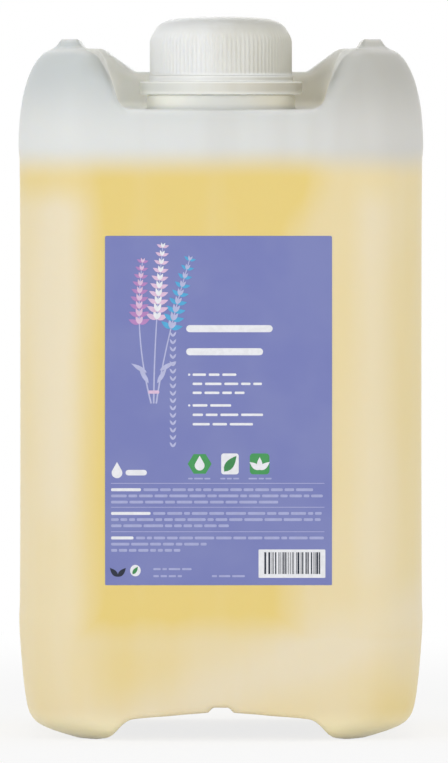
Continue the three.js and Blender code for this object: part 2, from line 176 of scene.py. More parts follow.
# Cap, band and liner. Cap and band reach a little lower than in the model, to narrow the gaps under them
CAP_BOTTOM_Z = CAP_LOW[2] - 0.1
CAP_TOP_Z = CAP_HIGH[2]
CAP_RADIUS = (CAP_HIGH[0] - CAP_LOW[0]) / 2
CAP_BORE_RADIUS = 30.2
CAP_BORE_TOP_Z = 330
CAP_LINER_RADIUS = 28
CAP_CEILING_Z = 335.8
CAP_RIB_COUNT = 96
CAP_RIB_DEPTH = 0.6
CAP_RIB_SIDES = 8
CAP_RIB_SHARPNESS = 0.8
CAP_FOOT_FLARE = 0.1
CAP_INSIDE_CHAMFER = (1, 0.5)
LINER_EDGE = 0.3
LINER_SEAT = (3.2, 3.6, 0.25)
BAND_RADIUS = BAND_HIGH[0]
BAND_BOTTOM_Z = BAND_LOW[2] - 0.25
BRIDGE_TOP_Z = BAND_HIGH[2]
BAND_TOP_Z = 311.9
BAND_LIP_RADIUS = 29.3
BAND_LIP_Z = 310.9
BAND_BORE_RADIUS = 31
BRIDGE_COUNT = 12
BRIDGE_WIDTH = 1.6
BRIDGE_THICKNESS = 1
BAND_EDGE_RADIUS = 0.15
TURNED_SIDES = 192

# The cap's outside, outwards from the crown's middle: radius, depth below the top, share of the ribs' depth
CROWN_OUTLINE = (
    (0, 0, 0),
    (6, 0.05, 0),
    (12, 0.2, 0),
    (18, 0.55, 0),
    (22, 1.05, 0),
    (24.4, 1.6, 0),
    (26.2, 2.2, 0),
    (27.6, 2.8, 0),
    (28.7, 3.45, 0),
    (29.6, 4.25, 0),
    (30.5, 5.4, 0),
    (31.3, 6.7, 0.05),
    (32, 7.9, 0.2),
    (CAP_RADIUS - 0.8, 9.1, 0.5),
    (CAP_RADIUS - 0.3, 10.4, 0.85),
    (CAP_RADIUS, 12, 1),
    (CAP_RADIUS, 19, 1),
)
# The foot of its skirt: radius, height above the foot, share of the ribs' depth
SKIRT_OUTLINE = (
    (CAP_RADIUS, 2.2, 1),
    (CAP_RADIUS + CAP_FOOT_FLARE, 1.2, 0.3),
    (CAP_RADIUS + CAP_FOOT_FLARE, 0, 0.1),
)

# Grids for the moulded surfaces: step over x, step over y, then stretches of z as (start, stop, step)
GRID_MARGIN = 3
OUTSIDE_GRID = (2.05, 2.2, (-3, 18, 1.5), (18, 66, 3), (66, 258, 6), (258, 290, 2.6), (290, 332, 1.55))
CAVITY_GRID = (3.4, 3.4, (-3, 18, 2.5), (18, 66, 5), (66, 258, 10), (258, 332, 2.6))
SOAP_GRID = (4.5, 4.5, (-3, 21, 3), (21, 66, 6), (66, 264, 12), (264, 280, 2))

# Camera, worked out for a picture of 448 by 763 pixels
PICTURE_WIDTH = 448
PICTURE_HEIGHT = 763
MM_PER_PIXEL = 0.472
CENTRE_PIXEL_X = 220.9
FLOOR_PIXEL_Y = 736.5
CAMERA_DISTANCE = 6000
CAMERA_HEIGHT = 300
OUTLINE_Y = -60
SENSOR_HEIGHT = 24
VIEW_REACH = 100

# Lamps, all aimed at the middle of the body: place, width and power in watts
LAMP_TARGET = (0, 0, 170)
LAMPS = {
    "key_light": ((-1700, -2100, 900), 1500, 23.5),
    "fill_light": ((1700, -2100, 600), 1500, 18.5),
    "left_light": ((-2600, 300, 500), 1600, 9),
    "right_light": ((2600, 300, 500), 1600, 9),
    "rear_light": ((0, 2700, 700), 1600, 8),
    "top_light": ((0, 100, 2400), 1400, 14),
}
WORLD_STRENGTH = 0.36
FLOOR_HALF_SIZE = 4000
# Metres from the middle between which the floor turns into plain white
FLOOR_FADE = (0.35, 1.1)


# Distances: fields that are negative inside a form, in millimetres

def polygon_distance(x, z, outline):
    x, z = np.broadcast_arrays(x, z)
    nearest = np.full(x.shape, np.inf)
    inside = np.zeros(x.shape, bool)
    for (ax, az), (bx, bz) in zip(outline, outline[1:] + outline[:1]):
        ex, ez = bx - ax, bz - az
        along = np.clip(((x - ax) * ex + (z - az) * ez) / (ex * ex + ez * ez), 0, 1)
        nearest = np.minimum(nearest, (x - ax - ex * along) ** 2 + (z - az - ez * along) ** 2)
        if ez:
            crosses = (az > z) != (bz > z)
            inside = inside ^ (crosses & (x < ax + ex * (z - az) / ez))
    distance = np.sqrt(nearest)
    return np.where(inside, -distance, distance)


def rounded_rectangle(x, y, half_x, half_y, radius):
    over_x = np.abs(x) - (half_x - radius)
    over_y = np.abs(y) - (half_y - radius)
    outside = np.hypot(np.maximum(over_x, 0), np.maximum(over_y, 0))
    return outside + np.minimum(np.maximum(over_x, over_y), 0) - radius


def shared(a, b, radius):
    """What lies in both forms, with its edge rounded."""
    corner = np.hypot(np.maximum(radius + a, 0), np.maximum(radius + b, 0))
    return np.minimum(-radius, np.maximum(a, b)) + corner


def joined(a, b, radius):
    """Both forms, with a fillet of that radius where they meet."""
    return -shared(-a, -b, radius)


def cut(form, tool, radius):
    return shared(form, -tool, radius)


def smoothed(points, rounds=2):
    """Corners of an open outline cut off again and again, which leaves a smooth curve."""
    for _ in range(rounds):
        cut_points = [points[0]]
        for a, b in zip(points, points[1:]):
            a, b = np.array(a, float), np.array(b, float)
            cut_points += [a * 0.75 + b * 0.25, a * 0.25 + b * 0.75]
        points = cut_points + [points[-1]]
    return [tuple(point) for point in points]


def wall_outline(half_size, foot_column, shoulder_inset):
    """Half width by height of the body, from the floor to the flat of the shoulder."""
    lower = [(half_size - row[foot_column], row[0]) for row in FOOT_OUTLINE]
    lower += [
        (half_size - WAIST_DEPTH, WAIST_BOTTOM_Z + WAIST_RAMP),
        (half_size - WAIST_DEPTH, WAIST_TOP_Z - WAIST_RAMP),
        (half_size, WAIST_TOP_Z),
    ]
    shoulder = []
    for step in range(1, SHOULDER_STEPS + 1):
        angle = step / SHOULDER_STEPS * math.pi / 2
        rise = math.sin(angle) ** (2 / SHOULDER_ROUNDNESS)
        inset = 1 - max(math.cos(angle), 0) ** (2 / SHOULDER_ROUNDNESS)
        shoulder.append((half_size - inset * shoulder_inset, WAIST_TOP_Z + rise * (SHOULDER_Z - WAIST_TOP_Z)))
    return np.array(smoothed(lower) + shoulder)


SIDE_WALL = wall_outline(HALF_X, 1, SHOULDER_INSET_X)
FRONT_WALL = wall_outline(HALF_Y, 2, SHOULDER_INSET_Y)


def wall_at(outline, z):
    """Half size and slope of a wall at each height."""
    half_sizes, heights = outline.T
    slopes = np.gradient(half_sizes, heights)
    return np.interp(z, heights, half_sizes), np.interp(z, heights, slopes)


def envelope(x, y, z):
    """The body without its recesses: rounded in plan, with walls that follow the two outlines."""
    half_x, slope_x = wall_at(SIDE_WALL, z)
    half_y, slope_y = wall_at(FRONT_WALL, z)
    radius = CORNER_RADIUS - (HALF_Y - half_y) * CORNER_LOSS
    over_x = np.maximum(np.abs(x) - half_x + radius, 0)
    over_y = np.maximum(np.abs(y) - half_y + radius, 0)
    facing_x = np.where(over_x + over_y > 0, over_x ** 2 / (over_x ** 2 + over_y ** 2 + 1e-9), 0.5)
    slope = slope_x * facing_x + slope_y * (1 - facing_x)
    across = rounded_rectangle(x, y, half_x, half_y, radius) / np.sqrt(1 + slope ** 2)
    return np.maximum(across, np.maximum(z - SHOULDER_Z, -z))


def saddle(x, z):
    run = SADDLE_TOP_HALF_WIDTH - SADDLE_FLOOR_HALF_WIDTH
    rise = SHOULDER_Z - SADDLE_Z
    length = math.hypot(run, rise)
    bank = ((np.abs(x) - SADDLE_FLOOR_HALF_WIDTH) * rise - (z - SADDLE_Z) * run) / length
    return shared(SADDLE_Z - z, bank, SADDLE_FILLET)


def drafted(across, z, floor_z, draft, fillet):
    """A recess whose plan widens from its floor up."""
    side = (across - (z - floor_z) * draft) / math.sqrt(1 + draft ** 2)
    return shared(side, floor_z - z, fillet)


def neck_recess(x, y, z):
    behind = np.maximum(y - NECK_Y, 0)
    across = np.hypot(x, behind) - RECESS_HALF_WIDTH
    return drafted(across, z, DECK_Z, RECESS_DRAFT, RECESS_FILLET)


def grip_pocket(x, y, z):
    middle = (POCKET_FRONT_Y + POCKET_BACK_Y) / 2
    half_length = (POCKET_BACK_Y - POCKET_FRONT_Y) / 2
    across = rounded_rectangle(x, y - middle, POCKET_HALF_WIDTH, half_length, POCKET_CORNER)
    return drafted(across, z, POCKET_FLOOR_Z, POCKET_DRAFT, POCKET_FILLET)


def handle(x, y, z):
    share = np.clip((y - HANDLE_START_Y) / (HANDLE_END_Y - HANDLE_START_Y), 0, 1)
    centre_z = HANDLE_END_Z + HANDLE_RISE * np.sin(math.pi * share)
    section = rounded_rectangle(x, z - centre_z, HANDLE_HALF_WIDTH, HANDLE_HALF_HEIGHT, HANDLE_CORNER)
    return np.maximum(section, np.maximum(HANDLE_START_Y - y, y - HANDLE_END_Y))


def curve_points(start, first, second, end, steps):
    """A cubic curve between two points, without its first point."""
    points = []
    for step in range(1, steps + 1):
        t = step / steps
        weights = ((1 - t) ** 3, 3 * t * (1 - t) ** 2, 3 * t * t * (1 - t), t ** 3)
        points.append(tuple(np.dot(weights, np.array((start, first, second, end), float))))
    return points


FAR = 300
ARCH_OUTLINE = [
    (-FAR, -ARCH_Z),
    (ARCH_FOOT_HALF_WIDTH, -ARCH_Z),
    (ARCH_FOOT_HALF_WIDTH, 0),
    *curve_points(
        (ARCH_FOOT_HALF_WIDTH, 0),
        (ARCH_FOOT_HALF_WIDTH - ARCH_CURVE_REACH, ARCH_CURVE_RISE),
        (ARCH_HALF_WIDTH + ARCH_CURVE_REACH, ARCH_SIDE_Z - ARCH_CURVE_RISE),
        (ARCH_HALF_WIDTH, ARCH_SIDE_Z),
        12,
    ),
    (GROOVE_HALF_WIDTH, ARCH_Z),
    (GROOVE_HALF_WIDTH - GROOVE_DEPTH, ARCH_Z + GROOVE_DEPTH),
    (-FAR, ARCH_Z + GROOVE_DEPTH),
]
RIB_SIDE = [
    (RIB_BASE_HALF_WIDTH, RIB_ROOT_Z),
    (RIB_BASE_HALF_WIDTH, SHOULDER_Z),
    (RIB_TOP_HALF_WIDTH, RIB_TOP_Z),
]
RIB_OUTLINE = [(RIB_X - half, z) for half, z in RIB_SIDE] + [(RIB_X + half, z) for half, z in RIB_SIDE[::-1]]


def stacking_rib(x, y, z):
    section = polygon_distance(np.abs(x), z, RIB_OUTLINE)
    slope = (RIB_BASE_HALF_WIDTH - RIB_TOP_HALF_WIDTH) / (RIB_TOP_Z - SHOULDER_Z)
    ends = (np.abs(y) - RIB_HALF_LENGTH - (RIB_TOP_Z - z) * slope) / math.sqrt(1 + slope ** 2)
    return shared(section, ends, RIB_END_RADIUS)


def neck_base(x, y, z):
    across = np.hypot(x, y - NECK_Y) - NECK_BASE_RADIUS
    return np.maximum(across, np.maximum(z - NECK_BASE_TOP_Z, DECK_Z - NECK_BASE_DEPTH - z))


def body_field(x, y, z):
    """The whole outside of the body as one field."""
    form = envelope(x, y, z)
    form = cut(form, saddle(x, z), SADDLE_EDGE_RADIUS)
    forward = np.clip((EDGE_GROWS_FORWARD[0] - y) / EDGE_GROWS_FORWARD[1], 0, 1)
    front_share = forward * np.clip((z - EDGE_GROWS_UPWARD[0]) / EDGE_GROWS_UPWARD[1], 0, 1)
    edge_radius = DECK_EDGE_RADIUS + (SHOULDER_EDGE_RADIUS - DECK_EDGE_RADIUS) * front_share
    form = cut(form, neck_recess(x, y, z), edge_radius)
    form = cut(form, grip_pocket(x, y, z), POCKET_EDGE_RADIUS)
    form = joined(form, handle(x, y, z), HANDLE_BLEND)
    form = cut(form, polygon_distance(np.abs(x), z, ARCH_OUTLINE), ARCH_EDGE_RADIUS)
    form = joined(form, stacking_rib(x, y, z), RIB_BLEND)
    return joined(form, neck_base(x, y, z), NECK_BASE_BLEND)


def cavity_field(x, y, z):
    """The same field, a wall further in."""
    return body_field(x, y, z) + WALL


def soap_field(x, y, z):
    return np.maximum(body_field(x, y, z) + WALL + SOAP_GAP, z - SOAP_Z)


# Meshes

def spaced(*stretches):
    """Grid planes with a step of their own in each stretch: (start, stop, step)."""
    planes = []
    for start, stop, step in stretches:
        count = max(1, round((stop - start) / step))
        planes.append(np.linspace(start, stop, count, endpoint=False))
    return np.append(np.concatenate(planes), stretches[-1][1])


def level_surface(field, xs, ys, zs):
    """The zero level of a field as quads: one point for each grid cell that it crosses."""
    values = field(xs[:, None, None], ys[None, :, None], zs[None, None, :])
    inside = values < 0
    corners = [(i, j, k) for i in (0, 1) for j in (0, 1) for k in (0, 1)]
    shape = np.array(values.shape) - 1
    count = sum(
        inside[i:i + shape[0], j:j + shape[1], k:k + shape[2]].astype(np.int8)
        for i, j, k in corners
    )
    active = (count > 0) & (count < 8)
    cell_number = np.full(active.shape, -1)
    cell_number[active] = np.arange(active.sum())
    cells = np.stack(np.nonzero(active), -1)
    grids = (xs, ys, zs)
    total = np.zeros((len(cells), 3))
    crossings = np.zeros(len(cells))
    for axis in range(3):
        step = np.eye(3, dtype=int)[axis]
        for corner in corners:
            if corner[axis]:
                continue
            start = cells + corner
            end = start + step
            value_a = values[tuple(start.T)]
            value_b = values[tuple(end.T)]
            crosses = (value_a < 0) != (value_b < 0)
            share = np.where(crosses, value_a / np.where(crosses, value_a - value_b, 1), 0)
            place = np.stack([grids[n][start[:, n]] for n in range(3)], -1)
            place[:, axis] += (grids[axis][end[:, axis]] - place[:, axis]) * share
            total += place * crosses[:, None]
            crossings += crosses
    points = settled(total / crossings[:, None], field)
    quads = []
    for axis in range(3):
        order = (axis, (axis + 1) % 3, (axis + 2) % 3)
        sign = inside.transpose(order)
        cell = cell_number.transpose(order)
        start = sign[:-1, 1:-1, 1:-1]
        end = sign[1:, 1:-1, 1:-1]
        around = np.stack([cell[:, :-1, :-1], cell[:, 1:, :-1], cell[:, 1:, 1:], cell[:, :-1, 1:]], -1)
        quads += [around[start & ~end], around[~start & end][:, ::-1]]
    return points, np.concatenate(quads)


def settled(points, field, rounds=3, probe=0.1, furthest=1.5):
    """Points moved along the field's slope until they lie on its zero level."""
    for _ in range(rounds):
        changes = [field(*(points + step).T) - field(*(points - step).T) for step in np.eye(3) * probe]
        slope = np.stack(changes, -1) / (2 * probe)
        steepness = np.maximum((slope ** 2).sum(-1), 0.3)
        move = np.clip(field(*points.T) / steepness, -furthest, furthest)
        points = points - slope * move[:, None]
    return points


def without_faces(points, faces, dropped):
    """Faces whose corners are all in dropped go, with the points that then have no face."""
    faces = faces[~dropped[faces].all(-1)]
    used = np.unique(faces)
    number = np.full(len(points), -1)
    number[used] = np.arange(len(used))
    return points[used], number[faces]


def merged(*parts):
    """Several (points, faces) pairs as one."""
    points = []
    faces = []
    start = 0
    for part_points, part_faces in parts:
        points += [tuple(point) for point in part_points]
        faces += [tuple(int(i) + start for i in face) for face in part_faces]
        start += len(part_points)
    return points, faces


def make_object(name, shape, smooth_angle=None):
    points, faces = shape
    mesh = bpy.data.meshes.new(name)
    mesh.from_pydata([tuple(np.array(point) * MM) for point in points], [], [tuple(face) for face in faces])
    mesh.validate()
    mesh.shade_smooth()
    if smooth_angle is not None:
        mesh.set_sharp_from_angle(angle=math.radians(smooth_angle))
    piece = bpy.data.objects.new(name, mesh)
    bpy.context.scene.collection.objects.link(piece)
    return piece


def bent(start, corner, end, steps):
    """A curve from start to end that leaves and arrives in the direction of the corner."""
    start, corner, end = (np.array(point, float) for point in (start, corner, end))
    shares = [step / steps for step in range(steps + 1)]
    return [tuple(start * (1 - t) ** 2 + corner * 2 * t * (1 - t) + end * t * t) for t in shares]


def softened(profile, radius, steps=3):
    """A closed profile with each corner rounded as far as its edges allow."""
    rounded = []
    corners = [np.array(point, float) for point in profile]
    for index, corner in enumerate(corners):
        before = corners[index - 1] - corner
        after = corners[(index + 1) % len(corners)] - corner
        reach_before = min(radius, np.linalg.norm(before) * 0.45)
        reach_after = min(radius, np.linalg.norm(after) * 0.45)
        start = corner + before / np.linalg.norm(before) * reach_before
        end = corner + after / np.linalg.norm(after) * reach_after
        rounded += bent(start, corner, end, steps)
    return rounded


def about_neck(radius, angle, z):
    """The point at that radius and angle about the neck's axis."""
    return radius * math.cos(angle), NECK_Y + radius * math.sin(angle), z


def swept(sections, closed=False):
    """A skin through sections of equal numbers of points. It joins up, or flat faces end it."""
    count = len(sections[0])
    points = [point for section in sections for point in section]
    total = len(points)
    faces = [] if closed else [tuple(range(count)), tuple(range(total - 1, total - count - 1, -1))]
    for ring in range(0, total if closed else total - count, count):
        following = (ring + count) % total
        for index in range(count):
            after = (index + 1) % count
            faces.append((ring + index, following + index, following + after, ring + after))
    return points, faces


def turned_ring(profile):
    """A closed profile of (radius, height) turned about the neck's axis."""
    turns = [2 * math.pi * side / TURNED_SIDES for side in range(TURNED_SIDES)]
    return swept([[about_neck(radius, turn, z) for radius, z in profile] for turn in turns], closed=True)


def turned_solid(profile, sides=TURNED_SIDES, ribs=None):
    """An open profile from axis to axis, turned about it. ribs(angle, index) is taken off the radius."""
    top, bottom = profile[0], profile[-1]
    rings = profile[1:-1]
    points = [(0, NECK_Y, top[1])]
    for index, (radius, z) in enumerate(rings):
        for side in range(sides):
            angle = 2 * math.pi * side / sides
            reach = radius - (ribs(angle, index + 1) if ribs else 0)
            points.append(about_neck(reach, angle, z))
    points.append((0, NECK_Y, bottom[1]))
    faces = []
    last = len(points) - 1
    for side in range(sides):
        following = (side + 1) % sides
        faces.append((0, 1 + side, 1 + following))
        for index in range(len(rings) - 1):
            upper = 1 + index * sides
            lower = upper + sides
            faces.append((upper + side, lower + side, lower + following, upper + following))
        ring = 1 + (len(rings) - 1) * sides
        faces.append((last, ring + following, ring + side))
    return points, faces


def thread_ridge(root_radius, crest_radius, zero_z, start_turn, turns, steps_per_turn=96, run_out=10):
    """A ridge climbing around the neck's axis, fading at both ends."""
    steps = round(turns * steps_per_turn)
    first_side = math.copysign(1, root_radius - crest_radius)
    sections = []
    for step in range(steps + 1):
        turn = start_turn + step / steps_per_turn
        angle = turn * 2 * math.pi
        z = zero_z + turn * THREAD_PITCH
        share = min(1, (min(step, steps - step) + 1) / (run_out + 1))
        crest = root_radius + (crest_radius - root_radius) * math.sin(share * math.pi / 2)
        middle = (root_radius + crest_radius * 3) / 4 if share == 1 else crest
        flank = [
            (root_radius, THREAD_ROOT_WIDTH / 2),
            (middle, THREAD_CREST_WIDTH / 2 + 0.1),
            (crest, THREAD_CREST_WIDTH / 2 - 0.25),
        ]
        section = [(radius, first_side * rise) for radius, rise in flank]
        section += [(radius, -rise) for radius, rise in section[::-1]]
        sections.append([about_neck(radius, angle, z + rise) for radius, rise in section])
    return swept(sections)


# Pieces

def moulded_surface(field, step_x, step_y, *heights):
    reach_x = HALF_X + GRID_MARGIN
    reach_y = HALF_Y + GRID_MARGIN
    xs = spaced((-reach_x, reach_x, step_x))
    ys = spaced((-reach_y, reach_y, step_y))
    return level_surface(field, xs, ys, spaced(*heights))


def opened_for_neck(shape, inset):
    """The shape without the faces that the collar hides, where the neck stands."""
    points, faces = shape
    from_axis = np.hypot(points[:, 0], points[:, 1] - NECK_Y)
    above = points[:, 2] > NECK_BASE_TOP_Z - inset - HIDDEN_DEPTH
    return without_faces(points, faces, (from_axis < NECK_BASE_RADIUS - inset - HIDDEN_MARGIN) & above)


def make_body():
    outside = opened_for_neck(moulded_surface(body_field, *OUTSIDE_GRID), 0)
    points, faces = opened_for_neck(moulded_surface(cavity_field, *CAVITY_GRID), WALL)
    return make_object("canister_body", merged(outside, (points, faces[:, ::-1])))


def make_neck():
    foot_radius = NECK_BASE_RADIUS - NECK_FOOT_INSET
    foot_z = NECK_BASE_TOP_Z - WALL
    profile = softened([
        (BORE_RADIUS, foot_z),
        (foot_radius, foot_z),
        (foot_radius, COLLAR_BOTTOM_Z),
        (COLLAR_RADIUS - COLLAR_CHAMFER[0], COLLAR_BOTTOM_Z),
        (COLLAR_RADIUS, COLLAR_BOTTOM_Z + COLLAR_CHAMFER[1]),
        (COLLAR_RADIUS, COLLAR_TOP_Z),
        (NECK_RADIUS, COLLAR_TOP_Z),
        (NECK_RADIUS, BEAD_BOTTOM_Z),
        (BEAD_RADIUS, BEAD_BOTTOM_Z),
        (NECK_RADIUS, BEAD_TOP_Z),
        (NECK_RADIUS, RIM_Z),
        (BORE_RADIUS, RIM_Z),
    ], NECK_EDGE_RADIUS)
    root = NECK_RADIUS - THREAD_OVERLAP
    ridge = thread_ridge(root, NECK_RADIUS + THREAD_HEIGHT, NECK_THREAD_START_Z, 0, NECK_THREAD_TURNS)
    return make_object("canister_neck", merged(turned_ring(profile), ridge), smooth_angle=40)


def make_cap():
    outside = [(radius, CAP_TOP_Z - depth, share) for radius, depth, share in CROWN_OUTLINE]
    outside += [(radius, CAP_BOTTOM_Z + rise, share) for radius, rise, share in SKIRT_OUTLINE]
    inside = [
        (CAP_BORE_RADIUS, CAP_BOTTOM_Z),
        (CAP_BORE_RADIUS, CAP_BORE_TOP_Z),
        (CAP_LINER_RADIUS, RIM_Z),
        (CAP_LINER_RADIUS, CAP_CEILING_Z - CAP_INSIDE_CHAMFER[1]),
        (CAP_LINER_RADIUS - CAP_INSIDE_CHAMFER[0], CAP_CEILING_Z),
        (0, CAP_CEILING_Z),
    ]
    profile = [(radius, z) for radius, z, _ in outside] + inside
    rib_share = [share for _, _, share in outside] + [0] * len(inside)

    def rib_depth(angle, index):
        ridge = (0.5 + 0.5 * math.cos(angle * CAP_RIB_COUNT)) ** CAP_RIB_SHARPNESS
        return CAP_RIB_DEPTH * rib_share[index] * (1 - ridge)

    shell = turned_solid(profile, CAP_RIB_COUNT * CAP_RIB_SIDES, rib_depth)
    root = CAP_BORE_RADIUS + THREAD_OVERLAP
    zero_z = NECK_THREAD_START_Z - CAP_THREAD_LAG
    crest = CAP_BORE_RADIUS - THREAD_HEIGHT
    ridge = thread_ridge(root, crest, zero_z, CAP_THREAD_START_TURN, CAP_THREAD_TURNS)
    return make_object("screw_cap_ribbed", merged(shell, ridge), smooth_angle=50)


def make_liner():
    low, high = LINER_LOW[2], LINER_HIGH[2]
    radius = LINER_HIGH[0]
    seat_outside, seat_inside, seat_depth = LINER_SEAT
    profile = [
        (0, high),
        (radius - LINER_EDGE, high),
        (radius, high - LINER_EDGE),
        (radius, low + LINER_EDGE),
        (radius - LINER_EDGE, low),
        (NECK_RADIUS - seat_outside, low),
        (NECK_RADIUS - seat_inside, low + seat_depth),
        (0, low + seat_depth),
    ]
    return make_object("cap_liner_disc", turned_solid(profile), smooth_angle=30)


def make_band():
    profile = softened([
        (BAND_LIP_RADIUS, BAND_BOTTOM_Z),
        (BAND_RADIUS, BAND_BOTTOM_Z),
        (BAND_RADIUS, BAND_TOP_Z),
        (BAND_BORE_RADIUS, BAND_TOP_Z),
        (BAND_BORE_RADIUS, BAND_LIP_Z),
        (BAND_LIP_RADIUS, BAND_LIP_Z),
    ], BAND_EDGE_RADIUS)
    parts = [turned_ring(profile)]
    middle = (BAND_BORE_RADIUS + BAND_RADIUS) / 2
    corners = [
        (middle + outwards * BRIDGE_THICKNESS / 2, sideways * BRIDGE_WIDTH / 2)
        for outwards, sideways in ((-1, -1), (-1, 1), (1, 1), (1, -1))
    ]
    for bridge in range(BRIDGE_COUNT):
        angle = 2 * math.pi * bridge / BRIDGE_COUNT
        cos, sin = math.cos(angle), math.sin(angle)
        outline = [(cos * x - sin * y, NECK_Y + sin * x + cos * y) for x, y in corners]
        parts.append(swept([[(*corner, z) for corner in outline] for z in (BAND_TOP_Z - 1, BRIDGE_TOP_Z)]))
    return make_object("tamper_band_ring", merged(*parts), smooth_angle=40)


def make_soap():
    return make_object("soap_level", moulded_surface(soap_field, *SOAP_GRID), smooth_angle=50)


# Label, drawn in millimetres from its top left corner: u to the right, v down

LABEL_LEFT = LABEL_LOW[0]
LABEL_TOP = LABEL_HIGH[2]
LABEL_SIZE = (LABEL_HIGH[0] - LABEL_LEFT, LABEL_TOP - LABEL_LOW[2])
FILM_GAP = 0.03
FILM_THICKNESS = 0.15
FILM_BACK_Y = -(HALF_Y - WAIST_DEPTH) - FILM_GAP
FILM_FRONT_Y = FILM_BACK_Y - FILM_THICKNESS
FILM_CORNER = 0.8
INK_THICKNESS = 0.04
INK_OVERLAP = 0.02
LEFT_MARGIN = 2.8

# Sprigs: layer, ink of the outer and of the inner petals, u of the root, bend, tip, whorls and petal length
SPRIG_ROOT_V = 78.5
SPRIGS = (
    (0.6, "mauve", "pink", 21.6, (13, 45), (17.5, 12.5), 9, 5),
    (0.9, "pink", "white", 22.8, (23, 45), (27, 5.5), 10, 5.3),
    (1.2, "sky", "lilac", 24, (28, 50), (39.5, 11.5), 9, 5.2),
)
SPRIG_BARE_SHARE = 0.56
STEM_WIDTH = 0.75
# Leaves on the stems: layer, u, v and direction
SPRIG_LEAVES = ((1.5, 19.6, 64, 150), (1.7, 20.4, 69, 122), (1.5, 25.6, 63, 30), (1.7, 24.4, 69, 58))
GARLAND_PAIRS = 17
GARLAND_STEP = 3.45
# Rows of bars as long as words. Bulleted lines: v, end. Captions: start, end. The others: v, start, end
BULLETED_LINES = ((65, 61.5), (69.3, 73.5), (73.5, 67.5), (79.4, 63), (83.8, 74), (88.2, 69.5))
CAPTIONS = ((38.9, 50), (54, 62.8), (67.2, 78))
SMALL_PRINT = (
    (118.9, 18, 98), (121.8, LEFT_MARGIN, 102), (124.7, LEFT_MARGIN, 84),
    (130, 22.5, 101.5), (132.9, LEFT_MARGIN, 101), (135.8, LEFT_MARGIN, 58),
    (141.5, 14.5, 102.5), (144.4, LEFT_MARGIN, 48), (147.3, LEFT_MARGIN, 37),
)
FOOT_LINES = ((156.1, 22.6, 43.2), (159.4, 22.6, 36), (159.4, 50, 66))
# Shortest and longest word, gap and height in each kind of row
BULLETED_WORDS = (4, 11, 1.3, 1.15)
CAPTION_WORDS = (2, 4.5, 0.7, 0.75)
SMALL_WORDS = (2.4, 9.5, 0.8, 1.3)
FOOT_WORDS = (2, 6, 0.8, 0.95)


def plate(outline, front_y, back_y):
    """A thin closed plate from an outline in label millimetres."""
    area = sum(a[0] * b[1] - b[0] * a[1] for a, b in zip(outline, outline[1:] + outline[:1]))
    if area > 0:
        outline = outline[::-1]
    return swept([[(LABEL_LEFT + u, y, LABEL_TOP - v) for u, v in outline] for y in (front_y, back_y)])


def ink(outline, layer):
    """The plate of one printed outline. A higher layer reaches further forward."""
    return plate(outline, FILM_FRONT_Y - layer * INK_THICKNESS, FILM_FRONT_Y + INK_OVERLAP)


def oval(u, v, half_u, half_v, steps=16):
    turns = [2 * math.pi * step / steps for step in range(steps)]
    return [(u + half_u * math.cos(turn), v + half_v * math.sin(turn)) for turn in turns]


def round_box(u0, v0, u1, v1, radius, steps=4):
    radius = min(radius, (u1 - u0) / 2 - 0.001, (v1 - v0) / 2 - 0.001)
    outline = []
    for quarter in range(4):
        corner_u = u1 - radius if quarter < 2 else u0 + radius
        corner_v = v1 - radius if quarter in (1, 2) else v0 + radius
        for step in range(steps + 1):
            turn = math.radians(90 * quarter - 90 + 90 * step / steps)
            outline.append((corner_u + radius * math.cos(turn), corner_v + radius * math.sin(turn)))
    return outline


def petal(u, v, angle, length, width, steps=7):
    """A pointed leaf from its root, growing in the direction of angle: 0 is right, 90 is up."""
    along = math.cos(math.radians(angle)), -math.sin(math.radians(angle))
    across = -along[1], along[0]
    rows = []
    for step in range(1, steps):
        t = step / steps
        rows.append((t * length, width / 2 * math.sin(math.pi * t ** 0.8)))
    sides = [(0, 0), *rows, (length, 0), *[(reach, -half) for reach, half in rows[::-1]]]
    return [(u + along[0] * a + across[0] * b, v + along[1] * a + across[1] * b) for a, b in sides]


def ribbon(curve, width):
    """A narrow band along a curve, thinner towards its end."""
    left = []
    right = []
    for index, (u, v) in enumerate(curve):
        before = curve[max(index - 1, 0)]
        after = curve[min(index + 1, len(curve) - 1)]
        du, dv = after[0] - before[0], after[1] - before[1]
        length = math.hypot(du, dv)
        half = width / 2 * (1 - 0.5 * index / (len(curve) - 1))
        left.append((u - dv / length * half, v + du / length * half))
        right.append((u + dv / length * half, v - du / length * half))
    return left + right[::-1]


def drop(u, v, height, steps=14):
    """A water drop with its tip at (u, v)."""
    radius = height * 0.33
    outline = [(u, v)]
    for step in range(steps + 1):
        turn = math.radians(-25 + 230 * step / steps)
        outline.append((u + radius * math.cos(turn), v + height - radius + radius * math.sin(turn)))
    return outline


def sprig(start, bend, end, whorls, size):
    """A flower sprig: its stem, and whorls of petals that get smaller towards the tip."""
    curve = bent(start, bend, end, 18)
    outer = []
    inner = []
    for whorl in range(whorls):
        t = SPRIG_BARE_SHARE + (1 - SPRIG_BARE_SHARE) * whorl / (whorls - 1)
        place = t * (len(curve) - 1)
        index = min(int(place), len(curve) - 2)
        share = place - index
        (u0, v0), (u1, v1) = curve[index:index + 2]
        u = u0 * (1 - share) + u1 * share
        v = v0 * (1 - share) + v1 * share
        heading = math.degrees(math.atan2(v0 - v1, u1 - u0))
        length = size * (1.1 - 0.5 * whorl / (whorls - 1))
        layer = 2 + 1.2 * (whorl % 2)
        for order, turn in enumerate((-66, 66)):
            outer.append((petal(u, v, heading + turn, length, length * 0.42), layer + 0.3 * order))
        for order, turn in enumerate((-22, 22)):
            inner.append((petal(u, v, heading + turn, length * 0.8, length * 0.3), layer + 0.6 + 0.3 * order))
    return ribbon(curve, STEM_WIDTH), outer, inner


